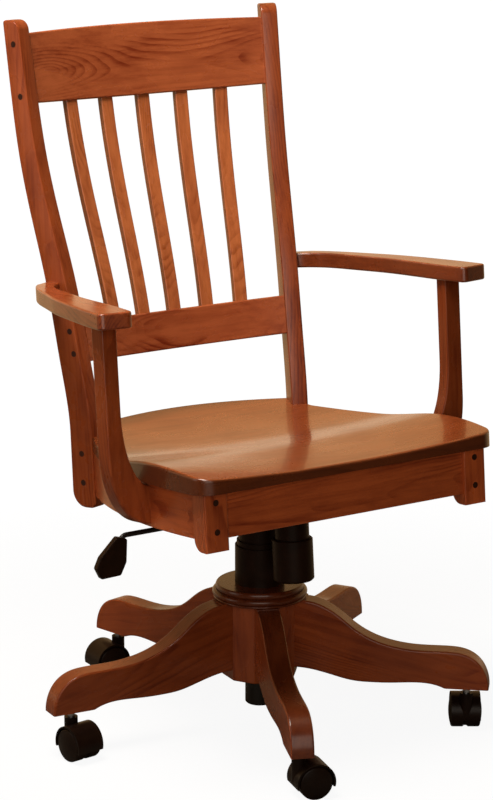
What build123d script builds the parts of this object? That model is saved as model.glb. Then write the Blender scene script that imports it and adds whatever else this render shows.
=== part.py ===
# Wooden swivel and tilt desk chair on five casters
# Millimetres, +Z up, the sitter faces -Y, the column stands on the origin
import os
from math import asin, ceil, cos, exp, pi, radians, sin, sqrt, tan

from build123d import *

os.makedirs("parts", exist_ok=True)

# Fits
touch_gap = 0.05      # running clearance of a shaft in its bore, on the radius
slip_gap = 0.3        # side clearance between pieces that move past each other

# Seat frame, leaning back with the seat
seat_lean = 5.0
seat_height = 430.0   # underside of the seat above the floor, at the column
seat_blank = 36.0     # plank before it is scooped
seat_front = -247.0
seat_rear = 254.0     # middle of the bowed rear edge
seat_half = 252.0
seat_bulge = 256.0    # half width where the arm supports stand
seat_corner = 28.0
scoop_low = 11.0      # wood left at the deepest line
scoop_deepest = 20.0
ridge_y = -100.0      # front of the dish
ridge_rise = 5.5
front_fall = 2.5      # from the ridge to the front edge
scoop_rear_rise = 19.0
scoop_side_rise = 7.0
thigh_rise = 7.5      # more rise at the sides, beside the thighs
thigh_middle = -140.0
thigh_run = 110.0
scoop_power = 2.2
scoop_step = 22.0
seat_edge = 4.0

# Back posts, sawn to an ogee and turned in towards the sitter
post_toe = 20.9
post_inner = 172.1
post_front = 170.0
post_width = 26.3
post_foot = -87.0
post_top = 647.0
post_straight = 26.0  # height at which the posts start to curve
post_line = [(13.3, 133), (32.2, 248), (59.7, 363), (76.1, 443), (88.4, 543), (98.2, post_top)]
post_depth_foot = 43.6
post_depth_arm = 39.6
post_depth_top = 28.5
arm_level = 248.0
post_round_foot = 20.0
post_round_top = 15.0
post_round_small = 5.0
post_edge = 2.5

# Rails of the back, bowed away from the sitter
crest_low = 522.0
crest_tall = 105.0
crest_rise = 6.0
crest_lean = 5.1
crest_setback = 5.0
crest_bow = 28.0
rail_thick = 20.0
rail_edge = 2.5
rail_spare = 25.0     # length cut off where a rail meets a post
lower_low = 134.0
lower_tall = 60.0
lower_lean = 7.5
lower_setback = 0.5
lower_bow = 30.0

# Slats, fanned out towards the crest rail
slat_count = 5
slat_pitch_top = 67.5
slat_pitch_low = 57.5
slat_wide = 22.0
slat_thick = 11.0
slat_tenon = 10.0
slat_edge = 2.0
slat_line = [(0.16, 0.165), (0.36, 0.332), (0.59, 0.515), (0.845, 0.76)]  # share of run, share of rise

# Seat box
leg_outer = 243.0
leg_front = -232.0
leg_wide = 38.0
leg_deep = 31.0
leg_foot = -84.0
leg_round = 18.0
apron_low = -68.0
apron_thick = 20.0
apron_setback = 6.0
apron_edge = 1.5
side_front = 240.0
side_middle = (243.5, -70.0)
side_butt = (0.06, 0.9)    # share of the post's width that a side apron covers
rear_front = 178.0
rear_thick = 22.0

# Arms and their supports
arm_low_front = 228.5
arm_thick = 23.5
arm_lift = 4.0
arm_front_inner = (286.0, -140.0)
arm_front_outer = (335.0, -130.0)
arm_inner = [(240, 168), (254, 110), (267, 40), (275, -50)]     # curved edges in plan
arm_outer = [(328, -70), (318, -10), (303, 62), (288, 112), (273, 160)]
arm_butt = 13.0       # inner edge meets the post behind its front corner
arm_ear = 32.0        # width of the arm beside the post
arm_rear = (0.97, 0.8)     # share of the post's depth at the arm's two rear corners
arm_corner = 9.0
arm_tail = 18.0       # rounding of the corner behind the post
arm_edge = 3.0
arm_tenon = 10.0
arm_shape = [(-90, 0.2), (5, 0.6), (110, 0.87)]   # depth, share of the lift
arm_reach = (-160.0, 270.0)
support_front = -86.0
support_turn = 6.5
support_deep = 26.0
support_edge = 3.0
support_root = -6.0   # start of the foot, inside the apron
support_foot_low = -64.0
support_foot_high = -9.0
support_outer = [(34, support_foot_low), (68.6, -30), (68.6, 50)]    # poles of the curve
support_inner = [(19, support_foot_high), (42.3, 34), (42.3, 106)]

# Plugs and the screws behind them
plug_radius = 4.6
plug_deep = 5.0
screw_head_radius = 4.3
screw_head = 4.0
screw_radius = 2.3
screw_reach = 52.0
crest_plugs = (611.0, 533.0)
crest_plug_in = 13.0
lower_plugs = (182.0, 148.3)
lower_plug_in = 9.5
foot_plugs = (-4.0, -48.5)
foot_plug_in = 21.0
leg_plugs = (-14.3, -56.0)

# Tilt control
pivot_y = -23.0
pivot_z = -27.0
pin_radius = 6.0
pin_half = 41.0
plate_half = 85.0
plate_front = -115.0
plate_rear = 105.0
plate_thick = 4.0
ear_inner = 33.0
ear_thick = 4.0
ear_radius = 15.0
plate_bolt_spots = [(-70, -100), (70, -100), (-70, 90), (70, 90)]
plate_bolt_radius = 3.0
plate_bolt_reach = 9.0
plate_bolt_head = 4.0
hex_share = 1.8       # corner radius of a bolt head in shank radii
housing_half = 32.0
web_low = seat_height - 68.0
web_high = seat_height - 50.0
web_front = -62.0
web_rear = 26.0
block_high = seat_height - 12.0
block_half = 15.0
fork_half = 16.0
fork_front = -114.0
fork_low = seat_height - 60.0
fork_thick = 8.0
slot_run = 20.0       # travel of the tension bolt along the fork's slot
slot_play = 2.5
socket_radius = 24.0
socket_low = seat_height - 84.0

# Tension knob on its bolt, square to the seat
knob_y = -77.0
knob_low = -188.5
knob_grip = 64.0
knob_neck_top = -93.0
knob_radius = 30.3
neck_radius = 25.5
knob_wall = 4.5
knob_floor = 14.0
knob_round = 3.0
knob_bevel = 1.5
bolt_radius = 5.0
bolt_recess = 3.0     # end of the bolt above the knob's bottom
spring_mean = 14.5
spring_wire = 4.6
spring_turns = 8
spring_top = -70.0

# Lift column
tube_radius = 25.0
tube_low_radius = 22.0
tube_bottom = 30.0
tube_step = 110.0
tube_top = 276.0
tube_bore = 20.0
tube_floor = 6.0
tube_bevel = 2.0
bush_low = 226.0
cylinder_radius = 14.0
cylinder_wall = 2.0
cylinder_low = 108.0
cylinder_top = seat_height - 32.0
rod_radius = 5.0
rod_top = 322.0
piston_tall = 14.0
shoulder_radius = 9.0
shoulder_thick = 4.0
gland_thick = 8.0
valve_deep = 10.0
valve_wall = 2.0
button_radius = 4.0
button_stand = 6.0
button_sunk = 7.5
cover_radius = 37.5
cover_wall = 2.0
cover_step = 2.6
cover_low = 222.5
cover_spans = [(cover_low, 281.0), (cover_low + 0.5, 289.0), (cover_low + 6, socket_low + 2.0)]

# Height lever
lever_radius = 3.8
lever_level = cylinder_top + button_stand + lever_radius + slip_gap
lever_under = 25.5    # gap between the side aprons and the lever
lever_drop = seat_height + apron_low * cos(radians(seat_lean)) - lever_under - lever_radius
lever_out = -242.0
lever_start = 8.0
lever_bend = 12.0
lever_elbows = (-44.0, -118.0)
lever_tip = (lever_out - 4.0, lever_drop - 22.0)
lug_x = -30.0
lug_thick = 4.0
lug_half = 10.0
lever_play = 0.6
# corners of the paddle from the lever's last elbow
paddle = [(-8, 0), (9, -5), (7.5, -40), (-2, -59), (-35, -60), (-43.5, -43), (-36, -27)]
paddle_thick = 9.8
paddle_corner = 4.0
paddle_edge = 1.5

# Base
leg_count = 5
base_turn = -23.06    # the leg nearest the sitter's feet, from -Y towards +X
hub_flat = 55.0
hub_low = 77.0
hub_top = 200.0
collar_radius = 72.0
collar_top = cover_low
collar_lip = [(69.0, 0.0), (70.0, 2.0), (68.0, 3.5)]      # radius, height above the hub
collar_bead = [(68.0, 3.5), (collar_radius, 8.5), (66.0, 13.5)]
collar_disc = [(66.0, 13.5), (67.0, 18.5), (64.5, collar_top - hub_top)]
base_leg_thick = 34.0
leg_top_line = [
    (collar_radius, hub_top - 1), (96, 193), (121, 178.5), (146, 158.5), (173, 143), (201, 134), (230, 129.5),
    (258, 128.5), (287, 128.5), (313, 125), (334, 112), (346, 91),
]
leg_low_line = [
    (259, 76.5), (230, 77), (200, 75), (172, 74.5), (144, 76), (112, 83.5), (80, 91), (hub_flat, 93),
]
leg_pad = 70.5        # underside of the foot of a leg
leg_pad_long = 68.0   # flat under the foot of a leg
leg_tip = 349.0
leg_edge = 3.0
dowel_radius = 6.0
dowel_heights = (116.0, 164.0)
dowel_inner = 34.0
dowel_outer = 82.0

# Casters
caster_ring = 315.0   # stems from the column axis
caster_trail = 20.0
caster_heads = [-13.5, 57.1, 190.0, 179.0, -83.0]   # trail direction of each caster from +X
stem_radius = 5.5
stem_low = 50.5
stem_top = 98.0
socket_wall = 2.0
socket_cap = 2.0
flange_radius = 11.0
flange_thick = 1.5
wheel_radius = 25.0
wheel_wide = 20.5
tread_round = 3.5
wheel_dome = 3.0      # bulge of a wheel's outer face
web_half = 1.5
web_radius = 23.0
axle_radius = 4.0
hood_gap = 1.6
hood_thick = 2.6
hood_boss = 10.0
hood_top = 60.8
hood_skirt = 7.0      # how far the hood reaches below the axle


# Places in the seat frame
lean = radians(seat_lean)
seat_frame = Plane(origin=(0, 0, seat_height), x_dir=(1, 0, 0), z_dir=(0, sin(lean), cos(lean)))


def spot(x, y, z):
    """Point of the seat frame."""
    return seat_frame.from_local_coords(Vector(x, y, z))


def way(x, y, z):
    """Direction of the seat frame."""
    return spot(x, y, z) - seat_frame.origin


def level(z):
    """Plane parallel to the seat's underside."""
    return seat_frame.offset(z)


def upright(x, y, turn):
    """Upright plane of the seat frame: X rearward and turned outward, Y up."""
    angle = radians(turn)
    rearward = way(sin(angle), cos(angle), 0)
    return Plane(origin=spot(x, y, 0), x_dir=rearward, z_dir=rearward.cross(way(0, 0, 1)))


def bowed(half, bow, x):
    """Depth of a rail's arc at x, zero at the half span."""
    radius = (half**2 + bow**2) / (2 * bow)
    return bow - radius + sqrt(radius**2 - x**2)


def save(piece, name):
    """Writes one named piece."""
    piece.label = name
    export_step(piece, f"parts/{name}.step")


# Back posts
toe = radians(post_toe)
toe_in = (sin(toe), cos(toe))
toe_out = (cos(toe), -sin(toe))
post_plane = upright(post_inner, post_front, post_toe)


def post_depth(z):
    """Depth of a post at a height."""
    if z < arm_level:
        share = (z - post_foot) / (arm_level - post_foot)
        return post_depth_foot + share * (post_depth_arm - post_depth_foot)
    share = (z - arm_level) / (post_top - arm_level)
    return post_depth_arm + share * (post_depth_top - post_depth_arm)


post_rear = [(x + post_depth(z), z) for x, z in post_line]


def post_line_at(z):
    """Depth of a post's front edge at a height, by straight steps along its line."""
    steps = [(0, post_straight)] + post_line
    for (x0, z0), (x1, z1) in zip(steps, steps[1:]):
        if z <= z1:
            return x0 + max(0, z - z0) / (z1 - z0) * (x1 - x0)
    return steps[-1][0]


def post_point(z, inward, side):
    """Plan point of the post: behind its front edge by inward, out from its inner face by side."""
    run = post_line_at(z) + inward
    return (
        post_inner + run * toe_in[0] + side * toe_out[0],
        post_front + run * toe_in[1] + side * toe_out[1],
    )


# Screws with plugs: spots and directions in the seat frame
screw_spots = []
plug_rows = [(crest_plugs, crest_plug_in), (lower_plugs, lower_plug_in), (foot_plugs, foot_plug_in)]
for heights, inward in plug_rows:
    for height in heights:
        x, y = post_point(height, inward, post_width)
        for side in (1, -1):
            screw_spots.append(((side * x, y, height), (-side * toe_out[0], -toe_out[1], 0)))
for height in leg_plugs:
    for side in (1, -1):
        screw_spots.append(((side * (leg_outer - leg_wide / 2), leg_front, height), (0, 1, 0)))
screw_planes = [Plane(origin=spot(*p), z_dir=way(*d)) for p, d in screw_spots]

with BuildPart() as screw_plugs:
    for plane in screw_planes:
        with BuildSketch(plane):
            Circle(plug_radius)
        extrude(amount=plug_deep)

with BuildPart() as frame_screws:
    for plane in screw_planes:
        with BuildSketch(plane.offset(plug_deep)):
            Circle(screw_head_radius)
        extrude(amount=screw_head)
        with BuildSketch(plane.offset(plug_deep + screw_head)):
            Circle(screw_radius)
        extrude(amount=screw_reach - plug_deep - screw_head)

with BuildPart() as back_post_right:
    with BuildSketch(post_plane):
        with BuildLine():
            front = Spline([(0, post_straight)] + post_line, tangents=[(0, 1), (0.09, 1)])
            top = Line(front @ 1, post_rear[-1])
            rear = Spline(
                [(post_depth(post_straight), post_straight)] + post_rear,
                tangents=[
                    (post_depth(post_straight) - post_depth_foot, post_straight - post_foot), (0.05, 1),
                ],
            )
            Polyline(front @ 0, (0, post_foot), (post_depth_foot, post_foot), rear @ 0)
        make_face()
        foot_front, foot_rear = vertices().group_by(Axis.Y)[0].sort_by(Axis.X)
        fillet(foot_front, post_round_small)
        fillet(foot_rear, post_round_foot)
        top_front, top_rear = vertices().group_by(Axis.Y)[-1].sort_by(Axis.X)
        fillet(top_front, post_round_top)
        fillet(top_rear, post_round_small)
    extrude(amount=post_width)
    fillet(faces().filter_by(GeomType.PLANE).filter_by(post_plane).edges(), post_edge)
    add(screw_plugs.part, mode=Mode.SUBTRACT)
    add(frame_screws.part, mode=Mode.SUBTRACT)


# Slats
crest_half, crest_y = post_point(crest_low, crest_setback, 0)
lower_half, lower_y = post_point(lower_low, lower_setback, 0)
slat_rise = crest_low - lower_low - lower_tall
slats = []
for number in range(slat_count):
    place = number - (slat_count - 1) / 2
    low_x = place * slat_pitch_low
    top_x = place * slat_pitch_top
    low_y = lower_y + lower_tall * tan(radians(lower_lean)) + bowed(lower_half, lower_bow, low_x)
    top_y = crest_y + bowed(crest_half, crest_bow, top_x)
    turn = asin(top_x * 2 * crest_bow / (crest_half**2 + crest_bow**2))
    run = (top_y - low_y) / cos(turn)
    sway = (top_x - low_x - run * sin(turn)) / slat_rise
    inward = way(sin(turn), cos(turn), 0)
    slat_plane = Plane(
        origin=spot(low_x, low_y + rail_thick / 2, lower_low + lower_tall),
        x_dir=inward,
        z_dir=inward.cross(way(sway, 0, 1)),
    )
    middle = [(share * run, rise * slat_rise) for share, rise in slat_line]
    steep_low = tan(radians(lower_lean))
    steep_top = tan(radians(crest_lean))
    ends_low = (-steep_low * slat_tenon, -slat_tenon)
    ends_top = (run + steep_top * slat_tenon, slat_rise + slat_tenon)
    centre = [ends_low] + middle + [ends_top]
    with BuildPart() as slat:
        with BuildSketch(slat_plane.offset(-slat_wide / 2)):
            with BuildLine():
                steep = [(steep_low, 1), (steep_top, 1)]
                near = Spline([(x - slat_thick / 2, y) for x, y in centre], tangents=steep)
                far = Spline([(x + slat_thick / 2, y) for x, y in centre], tangents=steep)
                Line(near @ 0, far @ 0)
                Line(near @ 1, far @ 1)
            make_face()
        extrude(amount=slat_wide)
        fillet([e for e in edges() if e.length > slat_rise], slat_edge)
    slats.append(slat.part)

# Rails between the posts
inner_right = Plane(origin=post_plane.origin, z_dir=post_plane.z_dir)
inner_left = Plane(
    origin=spot(-post_inner, post_front, 0),
    z_dir=way(-toe_out[0], toe_out[1], 0),
)


def rail_plane(y, z, tilt):
    """Plane across a rail at its lower edge, leaning back with the posts."""
    back = radians(tilt)
    return Plane(origin=spot(0, y, z), x_dir=(1, 0, 0), z_dir=way(0, sin(back), cos(back)))


def rail_outline(half, bow):
    """Points of a bowed rail's plan, a little longer than the gap between the posts."""
    reach = half + rail_spare
    end = bowed(half, bow, reach)
    return (-reach, end), (0, bow), (reach, end)


crest_plane = rail_plane(crest_y, crest_low, crest_lean)
with BuildPart() as crest_rail:
    with BuildSketch(crest_plane):
        a, b, c = rail_outline(crest_half, crest_bow)
        with BuildLine():
            ThreePointArc(a, b, c)
            Line(c, (c[0], c[1] + rail_thick))
            ThreePointArc(
                (c[0], c[1] + rail_thick), (b[0], b[1] + rail_thick), (a[0], a[1] + rail_thick)
            )
            Line((a[0], a[1] + rail_thick), a)
        make_face()
    extrude(amount=crest_tall + crest_rise)
    with BuildSketch(Plane(origin=crest_plane.origin, x_dir=(1, 0, 0), z_dir=-crest_plane.y_dir)):
        with BuildLine():
            far_x = crest_half + 2 * rail_spare
            end_y = crest_tall + bowed(crest_half, crest_rise, far_x)
            arch = ThreePointArc((-far_x, end_y), (0, crest_tall + crest_rise), (far_x, end_y))
            Polyline(arch @ 1, (far_x, 2 * crest_tall), (-far_x, 2 * crest_tall), arch @ 0)
        make_face()
    extrude(amount=crest_half, both=True, mode=Mode.SUBTRACT)
    split(bisect_by=inner_right, keep=Keep.BOTTOM)
    split(bisect_by=inner_left, keep=Keep.BOTTOM)
    fillet([e for e in edges() if e.length > crest_half], rail_edge)
    for slat_part in slats:
        add(slat_part, mode=Mode.SUBTRACT)
    add(frame_screws.part, mode=Mode.SUBTRACT)

lower_plane = rail_plane(lower_y, lower_low, lower_lean)
with BuildPart() as lower_back_rail:
    with BuildSketch(lower_plane):
        a, b, c = rail_outline(lower_half, lower_bow)
        with BuildLine():
            ThreePointArc(a, b, c)
            Line(c, (c[0], c[1] + rail_thick))
            ThreePointArc(
                (c[0], c[1] + rail_thick), (b[0], b[1] + rail_thick), (a[0], a[1] + rail_thick)
            )
            Line((a[0], a[1] + rail_thick), a)
        make_face()
    extrude(amount=lower_tall)
    split(bisect_by=inner_right, keep=Keep.BOTTOM)
    split(bisect_by=inner_left, keep=Keep.BOTTOM)
    fillet([e for e in edges() if e.length > lower_half], rail_edge)
    for slat_part in slats:
        add(slat_part, mode=Mode.SUBTRACT)
    add(frame_screws.part, mode=Mode.SUBTRACT)

# Seat box: corner legs and aprons
with BuildPart() as front_leg_right:
    with BuildSketch(upright(leg_outer - leg_wide, leg_front, 0)):
        with BuildLine():
            Polyline((0, 0), (leg_deep, 0), (leg_deep, leg_foot), (0, leg_foot), close=True)
        make_face()
        fillet(vertices().group_by(Axis.Y)[0].sort_by(Axis.X)[-1], leg_round)
    extrude(amount=leg_wide)
    lengths = edges().filter_by(Axis(spot(0, 0, 0), way(0, 0, 1)))
    fillet(lengths.sort_by(Axis(spot(0, 0, 0), way(0, 1, 0)))[:2], post_edge)
    add(screw_plugs.part, mode=Mode.SUBTRACT)
    add(frame_screws.part, mode=Mode.SUBTRACT)

side_start = (side_front, leg_front + leg_deep)
side_inner_end, side_end = [
    (post_inner + post_width * share * toe_out[0], post_front + post_width * share * toe_out[1])
    for share in side_butt
]
with BuildPart() as side_apron_right:
    with BuildSketch(level(apron_low)):
        with BuildLine():
            ThreePointArc(side_start, side_middle, side_end)
            Line(side_end, side_inner_end)
            ThreePointArc(
                side_inner_end, (side_middle[0] - apron_thick, side_middle[1]),
                (side_start[0] - apron_thick, side_start[1]),
            )
            Line((side_start[0] - apron_thick, side_start[1]), side_start)
        make_face()
    extrude(amount=-apron_low)
    add(frame_screws.part, mode=Mode.SUBTRACT)

front_half = leg_outer - leg_wide
with BuildPart() as front_apron:
    with BuildSketch(level(apron_low)):
        with BuildLine():
            y0 = leg_front + apron_setback
            Polyline(
                (-front_half, y0), (front_half, y0), (front_half, y0 + apron_thick),
                (-front_half, y0 + apron_thick), close=True,
            )
        make_face()
    extrude(amount=-apron_low)
    underside = faces().sort_by(Axis(seat_frame.origin, seat_frame.z_dir))[0]
    fillet(underside.edges().filter_by(Axis.X), apron_edge)


def post_inner_x(y):
    """Inner face of a post at a plan depth."""
    return post_inner + (y - post_front) * tan(toe)


with BuildPart() as rear_apron:
    with BuildSketch(level(apron_low)):
        with BuildLine():
            near_x = post_inner_x(rear_front)
            far_x = post_inner_x(rear_front + rear_thick)
            Polyline(
                (-near_x, rear_front), (near_x, rear_front), (far_x, rear_front + rear_thick),
                (-far_x, rear_front + rear_thick), close=True,
            )
        make_face()
    extrude(amount=-apron_low)
    add(frame_screws.part, mode=Mode.SUBTRACT)

# Arm supports: a J that springs from the side apron
support_turned = radians(support_turn)
support_x = side_middle[0]
support_plane = Plane(
    origin=spot(support_x, support_front, 0),
    x_dir=way(cos(support_turned), -sin(support_turned), 0),
    z_dir=way(-sin(support_turned), -cos(support_turned), 0),
)
support_reach = arm_low_front + arm_tenon
with BuildPart() as arm_support_right:
    with BuildSketch(support_plane):
        with BuildLine():
            outer = Bezier((support_root, support_foot_low), *support_outer)
            inner = Bezier((support_root, support_foot_high), *support_inner)
            Line(outer @ 0, inner @ 0)
            outer_top = (support_outer[-1][0], support_reach)
            inner_top = (support_inner[-1][0], support_reach)
            Polyline(outer @ 1, outer_top, inner_top, inner @ 1)
        make_face()
    extrude(amount=-support_deep)
    fillet([e for e in edges() if e.length > support_deep * 2.5], support_edge)
    add(side_apron_right.part, mode=Mode.SUBTRACT)


# Arms: flat in front, rising a little towards the post, mortised for the supports
def arm_curve(height):
    """Side view of an arm's upper or lower face."""
    rise = [(y, height + share * arm_lift) for y, share in arm_shape]
    ends = (arm_reach[0], height), (arm_reach[1], height + arm_lift)
    return Spline(ends[0], *rise, ends[1], tangents=[(1, 0), (1, 0)])


post_corner = post_point(arm_level, arm_butt, post_width)
post_back = post_point(arm_level, post_depth(arm_level) * arm_rear[0], post_width)
ear_back = post_point(arm_level, post_depth(arm_level) * arm_rear[1], post_width + arm_ear)
with BuildPart() as arm_right:
    with BuildSketch(level(arm_low_front - arm_lift)):
        with BuildLine():
            Line(arm_front_inner, arm_front_outer)
            Spline(arm_front_outer, *arm_outer, ear_back)
            Polyline(ear_back, post_back, post_corner)
            Spline(post_corner, *arm_inner, arm_front_inner)
        make_face()
        fillet(vertices().sort_by(Axis.Y)[:2], arm_corner)
        fillet(vertices().sort_by_distance(ear_back)[0], arm_tail)
    extrude(amount=2 * arm_lift + 2 * arm_thick)
    with BuildSketch(upright(0, 0, 0)):
        with BuildLine():
            low = arm_curve(arm_low_front)
            high = arm_curve(arm_low_front + arm_thick)
            Line(low @ 0, high @ 0)
            Line(low @ 1, high @ 1)
        make_face()
    extrude(amount=2 * leg_outer, mode=Mode.INTERSECT)
    post_side = post_plane.offset(post_width)
    flat = [e for e in edges() if abs((e % 0.5).dot(seat_frame.z_dir)) < 0.5]
    fillet([e for e in flat if post_side.to_local_coords(e.center()).Z > arm_edge], arm_edge)
    add(arm_support_right.part, mode=Mode.SUBTRACT)

# Seat panel, dished for the sitter
with BuildPart() as seat_plate_bolts:
    with BuildSketch(level(-plate_thick - plate_bolt_head)):
        with Locations(*plate_bolt_spots):
            RegularPolygon(plate_bolt_radius * hex_share, 6)
    extrude(amount=plate_bolt_head)
    with BuildSketch(level(-plate_thick)):
        with Locations(*plate_bolt_spots):
            Circle(plate_bolt_radius)
    extrude(amount=plate_thick + plate_bolt_reach)


def scooped(x, y):
    """Height of the seat's top: a ridge in front, a dish under the sitter, raised behind and at the sides."""
    dish = min(1, max(0, (y - ridge_y) / (scoop_deepest - ridge_y)))
    ahead = max(0, ridge_y - y) / (ridge_y - seat_front)
    behind = max(0, y - scoop_deepest) / (seat_rear - scoop_deepest)
    beside = scoop_side_rise + thigh_rise * exp(-(((y - thigh_middle) / thigh_run) ** 2))
    along = ridge_rise * (1 - dish**2 * (3 - 2 * dish)) - front_fall * ahead**2 + scoop_rear_rise * behind**2
    return scoop_low + along + beside * (abs(x) / seat_bulge) ** scoop_power


def rows(first, last):
    """Even steps from before the first to past the last value."""
    count = ceil((last - first) / scoop_step) + 2
    return [first - scoop_step + k * scoop_step for k in range(count + 1)]


scoop_face = Face.make_surface_from_array_of_points(
    [[spot(x, y, scooped(x, y)) for y in rows(seat_front, seat_rear)] for x in rows(-seat_bulge, seat_bulge)]
)
tail_x, tail_y = post_point(0, post_depth_foot - seat_edge, seat_edge)
tail_bow = seat_rear - tail_y
with BuildPart() as seat_panel:
    with BuildSketch(level(0)):
        with BuildLine():
            Line((0, seat_front), (seat_half, seat_front))
            ThreePointArc((seat_half, seat_front), (seat_bulge, side_middle[1]), side_end)
            Line(side_end, (tail_x, tail_y))
            ThreePointArc(
                (tail_x, tail_y), (tail_x / 2, tail_y + bowed(tail_x, tail_bow, tail_x / 2)), (0, seat_rear)
            )
            mirror(about=Plane.YZ)
        make_face()
        fillet(vertices().group_by(Axis.Y)[0], seat_corner)
    extrude(amount=seat_blank)
    extrude(scoop_face, amount=2 * seat_blank, dir=seat_frame.z_dir, mode=Mode.SUBTRACT)
    upper = faces().filter_by(GeomType.BSPLINE).sort_by(SortBy.AREA)[-1]
    rim = [e for e in upper.edges() if seat_frame.to_local_coords(e.center()).Y < post_front - seat_corner]
    fillet(rim, seat_edge)
    for post in (back_post_right.part, mirror(back_post_right.part, about=Plane.YZ, mode=Mode.PRIVATE)):
        add(post, mode=Mode.SUBTRACT)
    add(arm_support_right.part, mode=Mode.SUBTRACT)
    add(mirror(arm_support_right.part, about=Plane.YZ, mode=Mode.PRIVATE), mode=Mode.SUBTRACT)
    add(seat_plate_bolts.part, mode=Mode.SUBTRACT)

# Tilt control
pivot = spot(0, pivot_y, pivot_z)
pivot_bore = Plane(origin=pivot, x_dir=(0, 1, 0), z_dir=(1, 0, 0))
knob_axis = Axis(spot(0, knob_y, 0), way(0, 0, 1))

with BuildPart() as tilt_pivot_pin:
    with BuildSketch(pivot_bore):
        Circle(pin_radius)
    extrude(amount=pin_half, both=True)

bolt_end = knob_low + bolt_recess
with BuildPart() as tension_bolt:
    with BuildSketch(level(bolt_end)):
        with Locations((0, knob_y)):
            Circle(bolt_radius)
    extrude(amount=-bolt_end)
    with BuildSketch(level(-plate_thick)):
        with Locations((0, knob_y)):
            RegularPolygon(bolt_radius * hex_share, 6)
    extrude(amount=-plate_bolt_head)

with BuildPart() as seat_plate:
    with BuildSketch(level(-plate_thick)):
        with Locations((0, (plate_front + plate_rear) / 2)):
            RectangleRounded(2 * plate_half, plate_rear - plate_front, ear_radius)
    extrude(amount=plate_thick)
    for ear_x in (ear_inner, -ear_inner - ear_thick):
        with BuildSketch(upright(ear_x, 0, 0)):
            with Locations((pivot_y, pivot_z)):
                Circle(ear_radius)
            with Locations((pivot_y, (pivot_z - plate_thick) / 2)):
                Rectangle(2 * ear_radius, -pivot_z - plate_thick)
        extrude(amount=ear_thick)
    add(tilt_pivot_pin.part, mode=Mode.SUBTRACT)
    add(tension_bolt.part, mode=Mode.SUBTRACT)
    add(seat_plate_bolts.part, mode=Mode.SUBTRACT)

with BuildPart() as tension_knob:
    with BuildSketch(upright(0, knob_y, 0)):
        with BuildLine():
            bore = bolt_radius + touch_gap
            hollow = neck_radius - knob_wall
            grip_top = knob_low + knob_grip
            Polyline(
                (bore, knob_low), (knob_radius - knob_round, knob_low), (knob_radius, knob_low + knob_round),
                (knob_radius, grip_top - knob_bevel), (knob_radius - knob_bevel, grip_top),
                (neck_radius, grip_top),
                (neck_radius, knob_neck_top), (hollow, knob_neck_top), (hollow, knob_low + knob_floor),
                (bore, knob_low + knob_floor), close=True,
            )
        make_face()
    revolve(axis=knob_axis)

# Tension spring: a helix drawn with two tangent arcs to each quarter turn
spring_low = knob_low + knob_floor + spring_wire / 2
spring_pitch = (spring_top - spring_wire / 2 - spring_low) / spring_turns


def coil_point(turns):
    """Point of the spring's centre line after a number of turns."""
    angle = 2 * pi * turns
    height = spring_low + spring_pitch * turns
    return spot(spring_mean * cos(angle), knob_y + spring_mean * sin(angle), height)


def coil_way(turns):
    """Direction of the spring's centre line."""
    angle = 2 * pi * turns
    rise = spring_pitch / (2 * pi)
    return way(-spring_mean * sin(angle), spring_mean * cos(angle), rise).normalized()


with BuildPart() as tension_spring:
    with BuildLine() as coil:
        for quarter in range(4 * spring_turns):
            p0, p1 = coil_point(quarter / 4), coil_point((quarter + 1) / 4)
            t0, t1 = coil_way(quarter / 4), coil_way((quarter + 1) / 4)
            gap, both = p1 - p0, t0 + t1
            bend = 2 * (1 - t0.dot(t1))
            reach = (sqrt(gap.dot(both) ** 2 + 2 * bend * gap.dot(gap)) - gap.dot(both)) / bend
            meet = (p0 + t0 * reach + p1 - t1 * reach) * 0.5
            TangentArc(p0, meet, tangent=t0)
            TangentArc(meet, p1, tangent=(p1 - t1 * reach - p0 - t0 * reach).normalized())
    with BuildSketch(Plane(origin=coil_point(0), z_dir=coil_way(0))):
        Circle(spring_wire / 2)
    sweep(path=coil.wires()[0])
coil_points = [coil_point(step / 24) for step in range(24 * spring_turns)]
coil_gap = min(
    (b - a).length for i, a in enumerate(coil_points) for b in coil_points[i + 12:]
) - spring_wire
print("least gap between the spring's turns", round(coil_gap, 2))

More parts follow.
